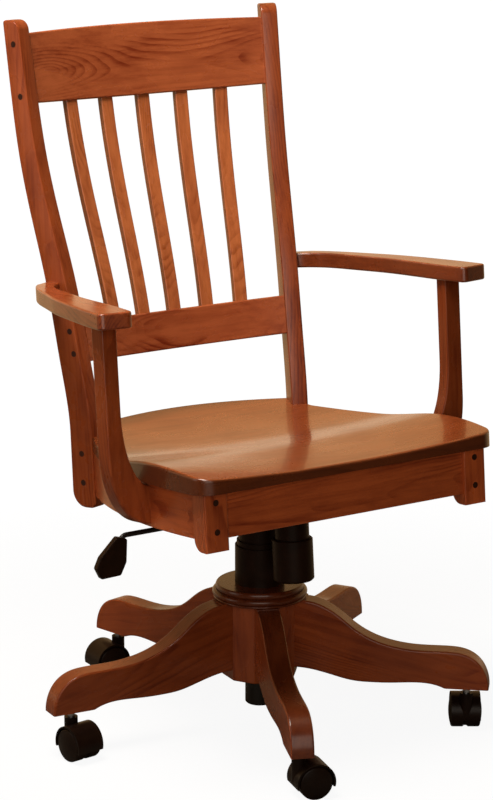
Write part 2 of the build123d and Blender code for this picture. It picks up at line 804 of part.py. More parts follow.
with BuildPart() as tilt_housing:
    with BuildSketch(Plane.XY.offset(web_low)):
        with Locations((0, (web_front + web_rear) / 2)):
            Rectangle(2 * housing_half, web_rear - web_front)
    extrude(amount=web_high - web_low)
    with BuildSketch(Plane.XY.offset(web_low)):
        with Locations((0, pivot.Y)):
            Rectangle(2 * housing_half, 2 * block_half)
    extrude(amount=block_high - web_low)
    with BuildSketch(Plane.XY.offset(socket_low)):
        Circle(socket_radius)
    extrude(amount=cylinder_top - socket_low)
    with BuildSketch(Plane.XY.offset(fork_low)):
        with Locations((0, (fork_front + web_front) / 2)):
            Rectangle(2 * fork_half, web_front - fork_front)
    extrude(amount=fork_thick)
    with BuildSketch(Plane.XY.offset(web_low)):
        with Locations((lug_x, 0)):
            Rectangle(lug_thick, 2 * lug_half)
    extrude(amount=lever_level + lug_half - web_low)
    with BuildSketch(Plane.XY.offset(socket_low)):
        Circle(cylinder_radius)
    extrude(amount=cylinder_top - socket_low, mode=Mode.SUBTRACT)
    with BuildSketch(pivot_bore):
        Circle(pin_radius + touch_gap)
    extrude(amount=pin_half, both=True, mode=Mode.SUBTRACT)
    with BuildSketch(Plane.XY.offset(fork_low)):
        bolt_here = knob_axis.intersect(Plane.XY.offset(fork_low)).Y
        slot_wide = 2 * (bolt_radius + slot_play)
        with Locations((0, bolt_here + slot_play - slot_run / 2)):
            SlotOverall(slot_run + slot_wide, slot_wide, rotation=90)
    extrude(amount=fork_thick, mode=Mode.SUBTRACT)
    with BuildSketch(Plane(origin=(lug_x, 0, lever_level), x_dir=(0, 1, 0), z_dir=(1, 0, 0))):
        Circle(lever_radius + lever_play)
    extrude(amount=lug_thick, both=True, mode=Mode.SUBTRACT)

# Height lever
with BuildPart() as lever_rod:
    with BuildLine(Plane.XZ) as lever_path:
        FilletPolyline(
            (lever_start, lever_level), (lever_elbows[0], lever_level), (lever_elbows[1], lever_drop),
            (lever_out, lever_drop), lever_tip, radius=lever_bend,
        )
    with BuildSketch(Plane(origin=(lever_start, 0, lever_level), z_dir=(-1, 0, 0))):
        Circle(lever_radius)
    sweep(path=lever_path.wires()[0])

with BuildPart() as lever_paddle:
    with BuildSketch(Plane.XZ):
        with BuildLine():
            Polyline(*[(lever_out + x, lever_drop + z) for x, z in paddle], close=True)
        make_face()
        fillet(vertices(), paddle_corner)
    extrude(amount=paddle_thick / 2, both=True)
    fillet(faces().filter_by(Axis.Y).edges(), paddle_edge)
    add(lever_rod.part, mode=Mode.SUBTRACT)

# Lift column
with BuildPart() as base_tube:
    with BuildSketch(Plane.XZ):
        with BuildLine():
            Polyline(
                (rod_radius + touch_gap, tube_bottom), (tube_low_radius - tube_bevel, tube_bottom),
                (tube_low_radius, tube_bottom + tube_bevel), (tube_low_radius, tube_step),
                (tube_radius, tube_step), (tube_radius, tube_top), (tube_bore, tube_top),
                (tube_bore, tube_bottom + tube_floor),
                (rod_radius + touch_gap, tube_bottom + tube_floor), close=True,
            )
        make_face()
    revolve(axis=Axis.Z)

with BuildPart() as guide_bush:
    with BuildSketch(Plane.XY.offset(bush_low)):
        Circle(tube_bore)
        Circle(cylinder_radius + touch_gap, mode=Mode.SUBTRACT)
    extrude(amount=tube_top - bush_low)

with BuildPart() as gas_cylinder:
    with BuildSketch(Plane.XZ):
        with BuildLine():
            inner_r = cylinder_radius - cylinder_wall
            valve_low = cylinder_top - valve_deep
            gland_top = cylinder_low + gland_thick
            Polyline(
                (rod_radius + touch_gap, cylinder_low), (cylinder_radius, cylinder_low),
                (cylinder_radius, cylinder_top), (button_radius + touch_gap, cylinder_top),
                (button_radius + touch_gap, valve_low), (0, valve_low),
                (0, valve_low - valve_wall), (inner_r, valve_low - valve_wall), (inner_r, gland_top),
                (rod_radius + touch_gap, gland_top), close=True,
            )
        make_face()
    revolve(axis=Axis.Z)

with BuildPart() as valve_button:
    with BuildSketch(Plane.XY.offset(cylinder_top - button_sunk)):
        Circle(button_radius)
    extrude(amount=button_stand + button_sunk)

with BuildPart() as piston_rod:
    with BuildSketch(Plane.XY.offset(tube_bottom + slip_gap)):
        Circle(rod_radius)
    extrude(amount=rod_top - tube_bottom - slip_gap)
    with BuildSketch(Plane.XY.offset(tube_bottom + tube_floor)):
        Circle(shoulder_radius)
    extrude(amount=shoulder_thick)
    with BuildSketch(Plane.XY.offset(rod_top - piston_tall)):
        Circle(cylinder_radius - cylinder_wall - touch_gap)
    extrude(amount=piston_tall)

covers = []
for step, (low, high) in enumerate(cover_spans):
    outer_r = cover_radius - step * cover_step
    with BuildPart() as cover:
        with BuildSketch(Plane.XY.offset(low)):
            Circle(outer_r)
            Circle(outer_r - cover_wall, mode=Mode.SUBTRACT)
        extrude(amount=high - low)
        if step == len(cover_spans) - 1:
            with BuildSketch(Plane.XY.offset(high)):
                Circle(outer_r)
                Circle(socket_radius, mode=Mode.SUBTRACT)
            extrude(amount=cover_wall)
    covers.append(cover.part)

# Base: hub, collar, legs and their dowels
leg_angles = [base_turn - 90 + 360 / leg_count * k for k in range(leg_count)]


def radial(angle):
    """Upright plane through the column axis: X outward along a leg, Y up."""
    out = Vector(cos(radians(angle)), sin(radians(angle)), 0)
    return Plane(origin=(0, 0, 0), x_dir=out, z_dir=out.cross(Vector(0, 0, 1)))


def leg_foot_spot(angle):
    """Caster stem of a leg in plan."""
    return caster_ring * cos(radians(angle)), caster_ring * sin(radians(angle))


with BuildPart() as leg_dowels:
    for angle in leg_angles:
        out = radial(angle).x_dir
        for height in dowel_heights:
            with BuildSketch(Plane(origin=out * dowel_inner + Vector(0, 0, height), z_dir=out)):
                Circle(dowel_radius)
            extrude(amount=dowel_outer - dowel_inner)

with BuildPart() as base_hub:
    with BuildSketch(Plane.XY.offset(hub_low)):
        half_side = 180 / (2 * leg_count)
        RegularPolygon(hub_flat, 2 * leg_count, major_radius=False, rotation=leg_angles[0] - half_side)
    extrude(amount=hub_top - hub_low)
    fillet(faces().sort_by(Axis.Z)[0].edges(), leg_edge)
    with BuildSketch(Plane.XY.offset(hub_low)):
        Circle(tube_low_radius)
    extrude(amount=tube_step - hub_low, mode=Mode.SUBTRACT)
    with BuildSketch(Plane.XY.offset(tube_step)):
        Circle(tube_radius)
    extrude(amount=hub_top - tube_step, mode=Mode.SUBTRACT)
    add(leg_dowels.part, mode=Mode.SUBTRACT)

with BuildPart() as hub_collar:
    with BuildSketch(Plane.XZ):
        with BuildLine():
            lip = ThreePointArc(*[(r, hub_top + rise) for r, rise in collar_lip])
            bead = ThreePointArc(*[(r, hub_top + rise) for r, rise in collar_bead])
            disc = ThreePointArc(*[(r, hub_top + rise) for r, rise in collar_disc])
            Polyline(disc @ 1, (tube_radius, collar_top), (tube_radius, hub_top), lip @ 0)
        make_face()
    revolve(axis=Axis.Z)

with BuildPart() as caster_sockets:
    for angle in leg_angles:
        with BuildSketch(Plane.XY.offset(leg_pad - flange_thick)):
            with Locations(leg_foot_spot(angle)):
                Circle(flange_radius)
        extrude(amount=flange_thick)
        with BuildSketch(Plane.XY.offset(leg_pad)):
            with Locations(leg_foot_spot(angle)):
                Circle(stem_radius + socket_wall)
        extrude(amount=stem_top + socket_cap - leg_pad)
        with BuildSketch(Plane.XY.offset(leg_pad - flange_thick)):
            with Locations(leg_foot_spot(angle)):
                Circle(stem_radius)
        extrude(amount=stem_top - leg_pad + flange_thick, mode=Mode.SUBTRACT)

with BuildPart() as caster_stems:
    with BuildSketch(Plane.XY.offset(stem_low)):
        with Locations(*[leg_foot_spot(angle) for angle in leg_angles]):
            Circle(stem_radius)
    extrude(amount=stem_top - stem_low)

base_legs = []
for angle in leg_angles:
    with BuildPart() as base_leg:
        with BuildSketch(radial(angle).offset(-base_leg_thick / 2)):
            with BuildLine():
                top = Spline(*leg_top_line, (leg_tip, leg_pad))
                low = Spline((leg_tip - leg_pad_long, leg_pad), *leg_low_line)
                Line(top @ 1, low @ 0)
                Polyline(low @ 1, (hub_flat, hub_top), (collar_radius, hub_top), top @ 0)
            make_face()
        extrude(amount=base_leg_thick)
        fillet([e for e in edges() if e.length > hub_top], leg_edge)
        add(leg_dowels.part, mode=Mode.SUBTRACT)
        with BuildSketch(Plane.XY.offset(leg_pad)):
            with Locations(leg_foot_spot(angle)):
                Circle(stem_radius + socket_wall)
        extrude(amount=stem_top + socket_cap - leg_pad, mode=Mode.SUBTRACT)
    base_legs.append(base_leg.part)

# Casters: a hood that swivels on its stem and a pair of wheels on one axle
caster_half = web_half + slip_gap + wheel_wide
dome_radius = ((wheel_radius - tread_round) ** 2 + wheel_dome**2) / (2 * wheel_dome)
hoods = []
wheel_sets = []
for angle, head in zip(leg_angles, caster_heads):
    x, y = leg_foot_spot(angle)
    trail = Vector(cos(radians(head)), sin(radians(head)), 0)
    axle_plane = Plane(
        origin=Vector(x, y, wheel_radius) + trail * caster_trail,
        x_dir=trail,
        z_dir=trail.cross(Vector(0, 0, 1)),
    )
    hood_radius = wheel_radius + hood_gap + hood_thick
    with BuildPart() as hood:
        with BuildSketch(axle_plane):
            Circle(hood_radius)
            with Locations((0, -hood_skirt)):
                Rectangle(2 * hood_radius, hood_radius, align=(Align.CENTER, Align.MAX), mode=Mode.SUBTRACT)
        extrude(amount=caster_half, both=True)
        with BuildSketch(Plane.XY.offset(wheel_radius)):
            with Locations((x, y)):
                Circle(hood_boss)
        extrude(amount=hood_top - wheel_radius)
        for side in (1, -1):
            with BuildSketch(axle_plane.offset(side * web_half)):
                Circle(wheel_radius + hood_gap)
            extrude(amount=side * 2 * caster_half, mode=Mode.SUBTRACT)
        with BuildSketch(axle_plane):
            Circle(web_radius)
            Rectangle(2 * hood_boss, wheel_radius, align=(Align.CENTER, Align.MIN))
        extrude(amount=web_half, both=True)
        with BuildSketch(axle_plane):
            Circle(axle_radius + touch_gap)
        extrude(amount=caster_half, both=True, mode=Mode.SUBTRACT)
        with BuildSketch(Plane.XY.offset(stem_low - slip_gap)):
            with Locations((x, y)):
                Circle(stem_radius + touch_gap)
        extrude(amount=stem_top - stem_low, mode=Mode.SUBTRACT)
    hoods.append(hood.part)
    with BuildPart() as wheels:
        for side in (1, -1):
            with BuildSketch(axle_plane.offset(side * (web_half + slip_gap))):
                Circle(wheel_radius)
                Circle(axle_radius + touch_gap / 2, mode=Mode.SUBTRACT)
            extrude(amount=side * wheel_wide)
        rims = edges().filter_by(GeomType.CIRCLE).group_by(SortBy.RADIUS)[-1]
        fillet(rims, tread_round)
        for side in (1, -1):
            outward = axle_plane.z_dir * side
            section = Plane(origin=axle_plane.origin, x_dir=outward, z_dir=outward.cross(Vector(0, 0, 1)))
            with BuildSketch(section):
                with BuildLine():
                    bulge = RadiusArc(
                        (caster_half, wheel_radius - tread_round), (caster_half + wheel_dome, 0), dome_radius,
                    )
                    Polyline(bulge @ 1, (caster_half, 0), bulge @ 0)
                make_face()
            revolve(axis=Axis(axle_plane.origin, outward))
        with BuildSketch(axle_plane):
            Circle(axle_radius)
        extrude(amount=caster_half - slip_gap, both=True)
    wheel_sets.append(wheels.part)

# Left-hand pieces
pairs = {
    "back_post": back_post_right.part,
    "arm": arm_right.part,
    "arm_support": arm_support_right.part,
    "side_apron": side_apron_right.part,
    "front_leg": front_leg_right.part,
}
for name, right in pairs.items():
    with BuildPart() as left:
        mirror(right, about=Plane.YZ)
    save(right, f"{name}_right")
    save(left.part, f"{name}_left")

single = {
    "seat_panel": seat_panel, "front_apron": front_apron, "rear_apron": rear_apron,
    "crest_rail": crest_rail, "lower_back_rail": lower_back_rail,
    "screw_plugs": screw_plugs, "frame_screws": frame_screws,
    "seat_plate": seat_plate, "seat_plate_bolts": seat_plate_bolts, "tilt_housing": tilt_housing,
    "tilt_pivot_pin": tilt_pivot_pin, "tension_spring": tension_spring, "tension_bolt": tension_bolt,
    "tension_knob": tension_knob, "lever_rod": lever_rod, "lever_paddle": lever_paddle,
    "base_tube": base_tube, "guide_bush": guide_bush, "gas_cylinder": gas_cylinder,
    "valve_button": valve_button, "piston_rod": piston_rod, "base_hub": base_hub,
    "hub_collar": hub_collar, "leg_dowels": leg_dowels, "caster_sockets": caster_sockets,
    "caster_stems": caster_stems,
}
for name, builder in single.items():
    save(builder.part, name)
for name, piece in zip(("cover_lower", "cover_middle", "cover_upper"), covers):
    save(piece, name)
series = {"back_slat": slats, "base_leg": base_legs, "caster_hood": hoods, "caster_wheels": wheel_sets}
for name, pieces in series.items():
    for number, piece in enumerate(pieces, 1):
        save(piece, f"{name}_{number}")
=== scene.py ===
# %% [markdown]
# A wooden desk chair, dressed for its photograph.
# The packed model gives every solid its place, so this lesson only adds what a solid cannot carry:
# lacquered cherry with its figure, black plastic and steel, and a few forms with softer edges.
# Everything is in metres, +Z is up and the sitter faces -Y.

# %% Load the packed model
from math import cos, pi, radians, sin

import bpy
import numpy as np
from mathutils import Matrix, Vector


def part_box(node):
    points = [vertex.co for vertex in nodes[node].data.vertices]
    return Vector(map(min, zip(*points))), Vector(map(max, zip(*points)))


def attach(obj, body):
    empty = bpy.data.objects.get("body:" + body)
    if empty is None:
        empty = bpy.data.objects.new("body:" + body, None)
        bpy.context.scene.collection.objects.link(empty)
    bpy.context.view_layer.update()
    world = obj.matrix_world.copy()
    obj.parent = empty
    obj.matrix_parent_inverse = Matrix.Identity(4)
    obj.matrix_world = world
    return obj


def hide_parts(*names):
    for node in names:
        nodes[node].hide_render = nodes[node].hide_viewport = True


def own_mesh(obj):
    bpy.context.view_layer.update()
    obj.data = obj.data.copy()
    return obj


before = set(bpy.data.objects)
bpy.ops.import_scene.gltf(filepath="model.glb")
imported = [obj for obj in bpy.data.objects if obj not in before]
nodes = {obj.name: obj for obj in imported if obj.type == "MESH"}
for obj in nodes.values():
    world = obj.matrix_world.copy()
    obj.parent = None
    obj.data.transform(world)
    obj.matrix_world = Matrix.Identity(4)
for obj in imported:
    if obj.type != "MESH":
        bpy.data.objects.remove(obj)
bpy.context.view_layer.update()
scene = bpy.context.scene
scene.view_settings.view_transform = "Standard"

# %% [markdown]
# The photograph was taken with a long lens from the chair's right front, a little above the seat.
# The camera below stands where straight edges and mirrored pieces of the chair agree with the picture.

# %% Camera
eye = Vector((-2.17587, -3.33351, 1.49427))
aim = Vector((-0.01683, 0.01087, 0.50391))
lens = bpy.data.cameras.new("photo_lens")
lens.lens = 124.19
lens.sensor_width = 36
lens.clip_end = 40
camera = bpy.data.objects.new("photo_camera", lens)
camera.location = eye
camera.rotation_euler = (aim - eye).to_track_quat("-Z", "Y").to_euler()
scene.collection.objects.link(camera)
scene.camera = camera
print("camera stands", round((aim - eye).length, 2), "m from the chair")


# %% [markdown]
# The paper, the wood and the finishes are all small trees of nodes.
# One helper adds a node and joins its sockets, so that each recipe reads like a line of arithmetic.

# %% Helper for node trees
class Wires:
    """Short ways to add and join nodes of one tree."""

    def __init__(self, tree):
        self.tree = tree

    def node(self, kind, **values):
        made = self.tree.nodes.new(kind)
        for key, value in values.items():
            setattr(made, key, value)
        return made

    def put(self, socket, value):
        if isinstance(value, bpy.types.NodeSocket):
            self.tree.links.new(value, socket)
        else:
            socket.default_value = value

    def math(self, operation, *values):
        made = self.node("ShaderNodeMath", operation=operation)
        for socket, value in zip(made.inputs, values):
            self.put(socket, value)
        return made.outputs[0]

    def total(self, first, *more):
        for value in more:
            first = self.math("ADD", first, value)
        return first

    def vector(self, operation, *values):
        made = self.node("ShaderNodeVectorMath", operation=operation)
        for socket, value in zip(made.inputs, values):
            self.put(socket, value)
        return made.outputs["Value"]

    def noise(self, vector, scale, detail=2.0, roughness=0.5, distortion=0.0):
        made = self.node("ShaderNodeTexNoise")
        for label, value in (("Vector", vector), ("Scale", scale), ("Detail", detail),
                             ("Roughness", roughness), ("Distortion", distortion)):
            self.put(made.inputs[label], value)
        return made.outputs[0]

    def stretch(self, vector, scale):
        made = self.node("ShaderNodeMapping")
        self.put(made.inputs["Vector"], vector)
        made.inputs["Scale"].default_value = scale
        return made.outputs[0]

    def range(self, value, low, high, out_low=0.0, out_high=1.0):
        made = self.node("ShaderNodeMapRange", interpolation_type="SMOOTHSTEP")
        for socket, number in zip(made.inputs, (value, low, high, out_low, out_high)):
            self.put(socket, number)
        return made.outputs[0]

    def blend(self, share, first, second, kind="MIX"):
        made = self.node("ShaderNodeMix", data_type="RGBA", blend_type=kind)
        # A Mix node has its sockets for colours after those for numbers and vectors.
        for number, value in ((0, share), (6, first), (7, second)):
            self.put(made.inputs[number], value)
        return made.outputs[2]


print("ways to add nodes", [name for name in vars(Wires) if not name.startswith("_")])

# %% [markdown]
# The chair stands in a white studio: paper behind it and under it, a dark room behind the camera.
# That is why the fronts stay deep red-brown while the seat and the arms mirror pale paper.
# A world that is white to the camera and fades towards the front for other rays gives both.

# %% White paper and dark room
behind = (aim - eye).normalized()
paper_rise = 0.25                        # the paper curves up, so a rising ray sees more of it
paper_low = (0.98, 0.74, 0.48, 1)        # as the lacquer mirrors it near the floor
paper_high = (0.66, 0.37, 0.15, 1)       # as the lacquer mirrors it higher up
room_share = 0.10                        # of that light, what matt surfaces get


def seen_white(w):
    """Two masks: the camera's rays, and all rays that see the background, with mirror and glass rays."""
    path = w.node("ShaderNodeLightPath").outputs
    seen = w.math("MAXIMUM", path["Is Camera Ray"], path["Is Glossy Ray"])
    return path["Is Camera Ray"], w.math("MAXIMUM", seen, path["Is Transmission Ray"])


world = bpy.data.worlds.new("studio")
world.use_nodes = True
scene.world = world
world.node_tree.nodes.clear()
w = Wires(world.node_tree)
outward = w.node("ShaderNodeTexCoord").outputs["Generated"]
fade = w.range(w.vector("DOT_PRODUCT", outward, (behind.x, behind.y, paper_rise)), -0.2, 0.6, 0.02, 1.0)
camera_ray, seen = seen_white(w)
room = w.math("MULTIPLY", fade, w.math("MAXIMUM", seen, room_share))
height = w.node("ShaderNodeSeparateXYZ")
w.put(height.inputs[0], outward)
sky = w.blend(w.range(height.outputs["Z"], 0.02, 0.13), paper_low, paper_high)
backdrop = w.node("ShaderNodeBackground")
w.put(backdrop.inputs["Color"], w.blend(camera_ray, sky, (1, 1, 1, 1)))
w.put(backdrop.inputs["Strength"], w.math("MAXIMUM", camera_ray, room))
w.put(w.node("ShaderNodeOutputWorld").inputs["Surface"], backdrop.outputs[0])
print("world nodes", len(world.node_tree.nodes))

# %% [markdown]
# The sheet under the chair keeps the soft shadow of its legs and fades to pure white further out.
# What the lacquer mirrors of it is warmer, and dark towards the camera, as paper under a dark room is.

# %% Floor with a soft shadow
half_side = 14.0
paper_shade = (0.22, 0.20, 0.17, 1)
paper_seen = (0.90, 0.90, 0.90, 1)
glow_mirrored = (0.75, 0.46, 0.22, 1)
glow_seen = (1.03, 1.03, 1.03, 1)
corners = [(x * half_side, y * half_side, 0) for x, y in ((-1, -1), (1, -1), (1, 1), (-1, 1))]
sheet = bpy.data.meshes.new("studio_floor")
sheet.from_pydata(corners, [], [(0, 1, 2, 3)])
floor = bpy.data.objects.new("studio_floor", sheet)
scene.collection.objects.link(floor)
paint = bpy.data.materials.new("studio_paper")
paint.use_nodes = True
paint.node_tree.nodes.clear()
w = Wires(paint.node_tree)
camera_ray, seen = seen_white(w)
place = w.node("ShaderNodeNewGeometry").outputs["Position"]
near = w.range(w.vector("DOT_PRODUCT", place, (behind.x, behind.y, 0)), -0.1, 1.3, 0.01, 0.8)
clear = w.range(w.vector("LENGTH", place), 0.6, 1.8, 0.9, 1.0)
mirrored = w.math("MULTIPLY", seen, near)
white = w.math("MAXIMUM", mirrored, w.math("MULTIPLY", camera_ray, clear))
paper = w.node("ShaderNodeBsdfDiffuse")
w.put(paper.inputs["Color"], w.blend(camera_ray, paper_shade, paper_seen))
glow = w.node("ShaderNodeEmission")
w.put(glow.inputs["Color"], w.blend(camera_ray, glow_mirrored, glow_seen))
mix = w.node("ShaderNodeMixShader")
for socket, value in zip(mix.inputs, (white, paper.outputs[0], glow.outputs[0])):
    w.put(socket, value)
w.put(w.node("ShaderNodeOutputMaterial").inputs["Surface"], mix.outputs[0])
sheet.materials.append(paint)
print("floor", 2 * half_side, "m wide")


# %% [markdown]
# Three soft boxes light the chair: one above for the tops, one at the left for the arm's side,
# and a broad fill beside the camera, which leaves no glint, so that the fronts keep their depth.

# %% Soft boxes
def soft_box(name, place, aim, size, watts, colour, spread=180, glint=1.0):
    """A rectangular studio light at a place, turned to a point."""
    lamp = bpy.data.lights.new(name, "AREA")
    lamp.shape = "RECTANGLE"
    lamp.size, lamp.size_y = size
    lamp.energy = watts
    lamp.color = colour
    lamp.spread = radians(spread)
    lamp.specular_factor = glint
    light = bpy.data.objects.new(name, lamp)
    light.location = place
    light.rotation_euler = (Vector(aim) - Vector(place)).to_track_quat("-Z", "Y").to_euler()
    scene.collection.objects.link(light)


soft_box(
    "key_light", (-0.7, -0.1, 2.3), (0, 0.2, 0.8), (0.9, 0.9), 16, (1.0, 0.92, 0.82), spread=100, glint=0.4
)
soft_box("left_light", (-2.7, 0.7, 1.2), (0, 0, 0.5), (1.2, 1.8), 8, (1.0, 0.90, 0.76))
soft_box("front_fill", (-1.6, -2.6, 1.2), (0, 0, 0.5), (2.4, 1.8), 26, (1.0, 0.90, 0.78), glint=0.0)

# %% [markdown]
# Cherry shows rings that a saw cuts at a slant, fine fibres along the board and cloudy stain.
# A picture of wood would have to be wrapped round each board, so the rings are worked out in space:
# distance from a slightly tilted pith, bent by slow noise, gives arches on a face and lines on an edge.
# One node group holds that, and each board places it along its own length.

# %% Shared grain of the boards
cherry_light = (0.43, 0.088, 0.022)
cherry_dark = (0.17, 0.021, 0.005)
ring_gap = 0.0045
ring_wander = 0.006
ring_figure = 0.5


def group_of(name, inputs, outputs):
    """An empty shader node group with named sockets."""
    group = bpy.data.node_groups.new(name, "ShaderNodeTree")
    for kind, label, value in inputs:
        made = group.interface.new_socket(label, in_out="INPUT", socket_type=kind)
        if value is not None:
            made.default_value = value
    for kind, label in outputs:
        group.interface.new_socket(label, in_out="OUTPUT", socket_type=kind)
    return group


cherry_grain = group_of(
    "cherry_grain",
    [
        ("NodeSocketVector", "Board", None), ("NodeSocketFloat", "Ring Gap", ring_gap),
        ("NodeSocketFloat", "Wander", ring_wander), ("NodeSocketFloat", "Figure", ring_figure),
        ("NodeSocketColor", "Light Wood", (*cherry_light, 1)),
        ("NodeSocketColor", "Dark Wood", (*cherry_dark, 1)),
    ],
    [("NodeSocketColor", "Color"), ("NodeSocketFloat", "Roughness"), ("NodeSocketFloat", "Height")],
)
print("grain group sockets", len(cherry_grain.interface.items_tree))

# %% [markdown]
# Inside the group, each effect of the wood is one noise, stretched along the board as the fibres are.
# Late wood is the dark end of every ring, and streaks, clouds and pores deepen the colour further.

# %% Rings, fibres and pores
w = Wires(cherry_grain)
given = w.node("NodeGroupInput").outputs
board = given["Board"]


def strands(along, across, *more):
    """Noise with so many cycles a metre along the board and across it."""
    return w.noise(w.stretch(board, (along, across, across)), 1.0, *more)


slow = strands(2.2, 9.0, 3.0, 0.55)
axes = w.node("ShaderNodeSeparateXYZ")
w.put(axes.inputs[0], board)
squares = [w.math("POWER", axes.outputs[k], 2.0) for k in (1, 2)]
from_pith = w.math("SQRT", w.total(*squares))
bent = w.total(from_pith, w.math("MULTIPLY", slow, w.math("MULTIPLY", given["Wander"], 6.0)))
rings = w.math("FRACT", w.math("DIVIDE", bent, given["Ring Gap"]))
late = w.math("MULTIPLY", w.range(rings, 0.35, 0.93), w.range(rings, 1.0, 0.94))
late = w.math("MULTIPLY", late, w.range(strands(5.0, 26.0, 2.0), 0.38, 0.66))
fibre = strands(22.0, 900.0, 3.0, 0.6)
streak = strands(3.5, 120.0, 3.0, 0.6)
cloud = strands(9.0, 17.0, 4.0, 0.6, 0.4)
pore = w.range(strands(160.0, 2600.0, 1.0), 0.60, 0.72)
deepened = w.total(
    w.math("MULTIPLY", late, given["Figure"]),
    w.range(streak, 0.35, 0.75, 0.0, 0.38),
    w.range(cloud, 0.35, 0.72, 0.0, 0.34),
    w.range(fibre, 0.3, 0.75, -0.07, 0.10),
    w.math("MULTIPLY", pore, 0.10),
)
made = w.node("NodeGroupOutput").inputs
w.put(made["Color"], w.blend(deepened, given["Light Wood"], given["Dark Wood"]))
w.put(made["Roughness"], w.range(cloud, 0.3, 0.75, 0.24, 0.34))
w.put(made["Height"], w.math("SUBTRACT", w.math("MULTIPLY", fibre, 0.35), w.math("MULTIPLY", pore, 0.6)))
print("grain group nodes", len(cherry_grain.nodes))


# %% [markdown]
# The maker stains each board, then sprays satin lacquer.
# Faces that turn away from the board's face are darkened as painted shade.
# Every board gets its own material: the shared grain, turned to the board, under a clear coat.

# %% Cherry for one board
fibre_bump = 0.03
fibre_height = 0.0006


def board_frame(along, face, tilt, centre, pith):
    """Turns the row frame so that X runs along the board, Z out of its face, and the pith lies below it.

    Rows of the turn are the length, face x length and face; a turn by tilt about Y slants the rings."""
    x = Vector(along).normalized()
    z = Vector(face)
    z = (z - x * z.dot(x)).normalized()
    y = z.cross(x)
    turn = Matrix.Rotation(radians(tilt), 3, "Y") @ Matrix((x, y, z))
    place = -(turn @ Vector(centre)) + Vector(pith)
    return turn.to_euler("XYZ"), place


def stained(colour, stain):
    """A wood colour scaled by a stain factor that also carries painted light and shade, with its alpha."""
    return (*(stain * v for v in colour), 1)


def cherry(name, along, face, centre, tilt, pith, gap=ring_gap, wander=ring_wander, figure=ring_figure,
           light=cherry_light, dark=cherry_dark, stain=1.0, gloss=0.4, coat=0.35, polish=0.18, rim=1.0):
    """Satin lacquer over cherry whose rings follow one board; rim is painted shade on faces turned from its
    face.
    """
    material = bpy.data.materials.new(name)
    material.use_nodes = True
    w = Wires(material.node_tree)
    shader = material.node_tree.nodes["Principled BSDF"]
    coordinates = w.node("ShaderNodeTexCoord").outputs
    turn, place = board_frame(along, face, tilt, centre, pith)
    where = w.node("ShaderNodeMapping")
    w.put(where.inputs["Vector"], coordinates["Object"])
    where.inputs["Rotation"].default_value = turn
    where.inputs["Location"].default_value = place
    grain = w.node("ShaderNodeGroup", node_tree=cherry_grain)
    w.put(grain.inputs["Board"], where.outputs[0])
    for label, value in (("Ring Gap", gap), ("Wander", wander), ("Figure", figure),
                         ("Light Wood", stained(light, stain)), ("Dark Wood", stained(dark, stain))):
        grain.inputs[label].default_value = value
    # Painted shade: faces that turn away from the board's face, front and back alike, darken to the rim
    # share.
    squareness = w.vector("DOT_PRODUCT", coordinates["Normal"], Vector(face).normalized())
    painted_shade_on_sides = w.range(w.math("ABSOLUTE", squareness), 0.45, 0.92, rim, 1.0)
    w.put(shader.inputs["Base Color"], w.blend(1.0, grain.outputs["Color"], painted_shade_on_sides, "MULTIPLY"))
    w.put(shader.inputs["Roughness"], grain.outputs["Roughness"])
    bump = w.node("ShaderNodeBump")
    bump.inputs["Strength"].default_value = fibre_bump
    bump.inputs["Distance"].default_value = fibre_height
    w.put(bump.inputs["Height"], grain.outputs["Height"])
    w.put(shader.inputs["Normal"], bump.outputs[0])
    shader.inputs["Specular IOR Level"].default_value = gloss
    shader.inputs["Coat Weight"].default_value = coat
    shader.inputs["Coat Roughness"].default_value = polish
    return material


def dress(piece, material):
    """Gives a piece one material."""
    piece.data.materials.clear()
    piece.data.materials.append(material)


level_turn = board_frame((1, 0, 0), (0, 0, 1), 0, (0, 0, 0), (0, 0, 0))[0]
print("turn of a level board", [round(v, 2) for v in level_turn])

# %% [markdown]
# Each board of the chair is cut along its own length: posts and slats stand, rails and aprons lie across,
# arms run front to back and every base leg points away from the hub.

# %% Lengths and faces of the boards
lean = radians(5.0)
toe = radians(20.9)          # the back posts are turned in towards the sitter
numbers = range(1, 6)        # five slats, five base legs and five casters
base_turn = -23.06           # the first base leg, from -Y towards +X
leg_step = 72.0
leg_fall = -0.25             # a base leg drops a quarter of its run
ahead = Vector((0, -cos(lean), sin(lean)))
above = Vector((0, sin(lean), cos(lean)))
across = Vector((1, 0, 0))
upward = Vector((0, 0, 1))
boards = {
    "seat_panel": (across, above), "front_apron": (across, ahead), "rear_apron": (across, ahead),
    "side_apron_left": (ahead, -across), "side_apron_right": (ahead, across),
    "front_leg_left": (above, ahead), "front_leg_right": (above, ahead),
    "back_post_left": (above, (-cos(toe), -sin(toe), 0)),
    "back_post_right": (above, (cos(toe), -sin(toe), 0)),
    "crest_rail": (across, ahead), "lower_back_rail": (across, ahead),
    "arm_left": (ahead, above), "arm_right": (ahead, above),
    "arm_support_left": (above, ahead), "arm_support_right": (above, ahead),
    "base_hub": (upward, (0, -1, 0)), "hub_collar": (across, upward), "leg_dowels": (across, upward),
}
for number in numbers:
    boards[f"back_slat_{number}"] = (above, ahead)
    turn = radians(base_turn - 90 + leg_step * (number - 1))
    boards[f"base_leg_{number}"] = ((cos(turn), sin(turn), leg_fall), (-sin(turn), cos(turn), 0))
print("boards", len(boards))
